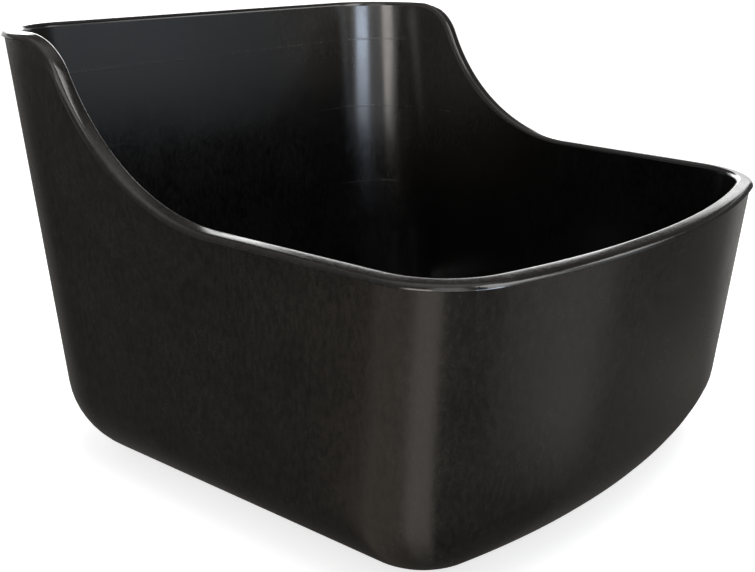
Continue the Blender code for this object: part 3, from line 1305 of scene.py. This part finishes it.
@dataclass(frozen=True)
class FloorCard:
    """A dim card on the floor that the outside walls mirror, lighter in slices about the near corner."""

    size: float = 8.0
    lift: float = 0.001
    middle: Span = (-0.165, -0.175)
    axis: float = -120.0
    glow: float = 0.115
    tint: Colour = (1.0, 0.93, 0.85)
    foot_half: Span = (0.13, 0.15)
    foot_round: float = 0.06
    foot_reach: float = 0.16
    foot_glow: float = 0.60
    slices: tuple[Slice, ...] = (
        Slice(-170.0, -136.0, 0.07, WHITE, (6.0, 6.0)),
        Slice(-92.0, -45.0, 0.38, (1.0, 0.84, 0.69), (5.0, 3.0), (0.02, 0.10)),
        Slice(-45.0, -18.0, 0.98, (1.0, 0.92, 0.83), (3.0, 1.5), (0.02, 0.105)),
        Slice(-12.0, 40.0, 0.08, (1.0, 0.93, 0.86), (4.0, 10.0), (0.05, 0.20)),
        Slice(28.0, 79.0, 0.06, (1.0, 0.93, 0.86), (20.0, 3.5), (0.10, 0.30)),
        Slice(50.0, 79.0, 0.32, (1.0, 0.96, 0.91), (20.0, 3.5), (0.12, 0.34)),
        Slice(82.0, 112.0, 0.06, (1.0, 0.96, 0.91), (4.0, 6.0), (0.75, 0.42)),
        Slice(118.0, 175.0, 0.40, WHITE, (5.0, 6.0)),
    )

    def build(self) -> None:
        """Adds the card and its glow."""
        select_none()
        bpy.ops.mesh.primitive_plane_add(size=self.size, location=(0.0, 0.0, self.lift))
        bpy.ops.object.transform_apply(location=True)
        stage_card("floor_card", self.material())

    def material(self) -> bpy.types.Material:
        """The glow: its slices, dimmer round the tub's foot.

        Returns:
            The card's material.
        """
        made, sheet = glow_sheet("floor_card")
        place = sheet.place()
        centred = sheet.out("VectorMath", {0: place, 1: (*self.middle, 0.0)}, operation="SUBTRACT")
        turned = sheet.turned(centred, self.axis)
        turn = sheet.bearing(sheet.axes(turned))
        reach = sheet.add("VectorMath", {0: turned}, operation="LENGTH").outputs["Value"]
        colour = tinted(self.glow, self.tint)
        for piece in self.slices:
            share = sheet.times(sheet.ramp(turn, piece.first - piece.soft[0], piece.first + piece.soft[0]),
                                sheet.fall(turn, piece.last - piece.soft[1], piece.last + piece.soft[1]),
                                sheet.ramp(reach, *piece.start))
            colour = sheet.lit(colour, tinted(piece.glow, piece.tint), share)
        axes = sheet.axes(place)
        away = [sheet.most(sheet.minus(sheet.unsigned(axes[axis]), half), 0.0)
                for axis, half in zip(("X", "Y"), self.foot_half)]
        shade = sheet.ramp(sheet.length(*away), self.foot_round, self.foot_round + self.foot_reach)
        strength = sheet.span(shade, self.foot_glow, 1.0)
        sheet.surface(sheet.out("Emission", {"Color": colour, "Strength": strength}))
        return made


@dataclass(frozen=True)
class SkyPatch:
    """A brighter patch of the canopy: its middle, half sizes and soft edge in degrees, and its glow."""

    azimuth: float
    elevation: float
    half_width: float
    half_height: float
    soft: float
    glow: float
    tint: Colour = WHITE

    def share(self, sheet: NodeSheet, place: Socket, elevation: Socket) -> Socket:
        """How much of the patch's glow a place on the canopy has.

        Args:
            sheet: The canopy's sheet.
            place: The place.
            elevation: Its elevation.

        Returns:
            1 in the patch and 0 outside it.
        """
        across = sheet.unsigned(sheet.bearing(sheet.axes(sheet.turned(place, self.azimuth))))
        along = sheet.unsigned(sheet.minus(elevation, self.elevation))
        return sheet.times(*(sheet.fall(away, half - self.soft, half + self.soft)
                             for away, half in ((across, self.half_width), (along, self.half_height))))


@dataclass(frozen=True)
class Canopy:
    """The studio's dim ceiling, which only glossy plastic sees, open to the white round the horizon."""

    radius: float = 20.0
    segments: int = 96
    rings: int = 48
    glow: float = 0.12
    zenith_glow: float = 0.95
    zenith: Span = (45.0, 78.0)
    open_below: Span = (15.0, 18.0)
    patches: tuple[SkyPatch, ...] = (
        SkyPatch(12.0, 10.7, 14.0, 5.9, 1.5, 0.6),
        SkyPatch(19.0, 15.2, 7.0, 1.9, 1.4, 2.0),
        SkyPatch(48.0, 14.0, 20.5, 7.2, 1.3, 5.4),
        SkyPatch(64.0, 20.8, 13.0, 5.4, 1.3, 3.6),
        SkyPatch(140.0, 42.0, 60.0, 20.0, 8.0, 0.20),
        SkyPatch(-132.0, 36.0, 20.0, 24.0, 8.0, 1.8, (1.0, 0.98, 0.95)),
    )

    def build(self) -> None:
        """Adds the canopy and its glow."""
        select_none()
        sizes = {"segments": self.segments, "ring_count": self.rings, "radius": self.radius}
        bpy.ops.mesh.primitive_uv_sphere_add(**sizes)
        stage_card("canopy", self.material())

    def material(self) -> bpy.types.Material:
        """The canopy's glow by direction.

        Returns:
            The canopy's material.
        """
        made, sheet = glow_sheet("canopy")
        place = sheet.place()
        height = sheet.math("DIVIDE", sheet.axes(place)["Z"], self.radius)
        elevation = sheet.math("DEGREES", sheet.math("ARCSINE", height))
        colour = (0.0, 0.0, 0.0)
        for patch in self.patches:
            colour = sheet.lit(colour, tinted(patch.glow, patch.tint), patch.share(sheet, place, elevation))
        strength = sheet.span(sheet.ramp(elevation, *self.zenith), self.glow, self.zenith_glow)
        closed = sheet.ramp(elevation, *self.open_below)
        wall = sheet.out("MixShader", {0: closed, 1: sheet.out("BsdfTransparent"),
                                       2: sheet.out("Emission", {"Strength": strength})})
        sheet.surface(sheet.out("AddShader", {0: wall, 1: sheet.out("Emission", {"Color": colour})}))
        return made


@dataclass(frozen=True)
class Studio:
    """A pale floor under a white sky, a soft lamp overhead, and the cards that the black plastic mirrors.

    Of the cards, the inner corner mirrors the first two, which are tall soft windows.
    """

    floor_size: float = 60.0
    floor_colour: Colour = (0.80, 0.80, 0.80)
    floor_lift: float = 0.75
    sky: float = 0.45
    lamp_place: Triple = (0.2, -0.2, 2.2)
    lamp_aim: Triple = (0.0, 0.0, 0.2)
    lamp_size: Span = (1.8, 1.8)
    lamp_power: float = 24.0
    cards: tuple[StandingCard, ...] = (
        StandingCard("cool_window", -99.5, 1.38, 0.82, 0.18, 0.70, 15.0, (0.69, 0.81, 1.0),
                     (0.22, 0.2), 0.63, lean=1.1),
        StandingCard("warm_window", -159.0, 1.33, 0.64, -0.02, 1.04, 5.7, (1.0, 0.94, 0.88),
                     (0.14, 0.3), 0.40, lean=1.95, growth=Rise.STEADY),
        StandingCard("high_window", -76.5, 3.0, 2.1, 0.60, 6.6, 5.2, WHITE, (0.08, 0.25), 1.95),
        StandingCard("front_window", -42.0, 3.0, 1.5, 0.75, 2.35, 4.5, WHITE, (0.3, 0.15), 2.0),
        StandingCard("front_glow", -54.0, 2.3, 1.5, 0.12, 1.0, 0.72, (0.78, 0.89, 1.0), (0.45, 0.5), 0.37),
        StandingCard("front_shade", -29.0, 2.5, 3.7, -0.1, 0.98, 0.11, (0.93, 0.97, 1.0), (0.05, 0.12),
                     opaque=True),
        StandingCard("corner_shade", -72.0, 2.6, 0.85, -0.1, 0.95, 0.33, (0.95, 0.98, 1.0), (0.1, 0.12),
                     opaque=True),
        StandingCard("left_shade", 150.0, 2.5, 3.0, -0.1, 0.9, 0.20, (1.0, 0.95, 0.90), (0.15, 0.2),
                     opaque=True),
    )

    @staticmethod
    def seen(sheet: NodeSheet) -> Socket:
        """1 for a ray from the lens or one that glossy or clear things send on."""
        path = sheet.add("LightPath").outputs
        return sheet.most(*(path[f"Is {kind} Ray"] for kind in ("Camera", "Glossy", "Transmission")))

    def world(self) -> None:
        """A white background where it is seen or mirrored, and a softer sky as light."""
        world = bpy.data.worlds.new("studio_sky")
        world.use_nodes = True
        bpy.context.scene.world = world
        sheet = NodeSheet(world.node_tree)
        background = world.node_tree.nodes["Background"].inputs
        sheet.feed(background["Color"], (*WHITE, 1.0))
        sheet.feed(background["Strength"], sheet.span(self.seen(sheet), self.sky, 1.0))

    def floor(self) -> None:
        """The pale floor, lifted to white where it is seen but still holding the object's shadow."""
        select_none()
        bpy.ops.mesh.primitive_plane_add(size=self.floor_size)
        floor = bpy.context.object
        floor.name = floor.data.name = "studio_floor"
        made, sheet = glow_sheet("studio_floor")
        paint = sheet.out("BsdfDiffuse", {"Color": (*self.floor_colour, 1.0)})
        lift = sheet.out("Emission", {"Strength": sheet.times(self.seen(sheet), self.floor_lift)})
        sheet.surface(sheet.out("AddShader", {0: paint, 1: lift}))
        floor.data.materials.append(made)

    def lamp(self) -> None:
        """The soft rectangular lamp overhead, which glossy plastic doesn't mirror."""
        data = bpy.data.lights.new("overhead_softbox", "AREA")
        data.shape, data.size, data.size_y = "RECTANGLE", *self.lamp_size
        data.energy = self.lamp_power
        lamp = bpy.data.objects.new("overhead_softbox", data)
        bpy.context.scene.collection.objects.link(lamp)
        lamp.location = self.lamp_place
        lamp.visible_glossy = False
        away = Vector(self.lamp_aim) - Vector(self.lamp_place)
        lamp.rotation_euler = away.to_track_quat("-Z", "Y").to_euler()

    def build(self) -> None:
        """Sets the stage and the view settings."""
        self.world()
        self.floor()
        self.lamp()
        FloorCard().build()
        Canopy().build()
        for card in self.cards:
            card.build()
        bpy.context.scene.view_settings.view_transform = "Standard"


def main() -> None:
    """Builds the camera, the object's two pieces and the studio, in order."""
    logging.basicConfig(level=logging.INFO, format="%(name)s: %(message)s")
    PhotoCamera().build()
    shared = SharedEffects()
    tub = FeedTub()
    tub.dress(tub.build(), BlackPolyethylene().material(shared))
    plug = DrainPlug(tub.drain())
    plug.dress(plug.build(), PlugRubber().material(shared))
    Studio().build()


if __name__ == "__main__":
    main()
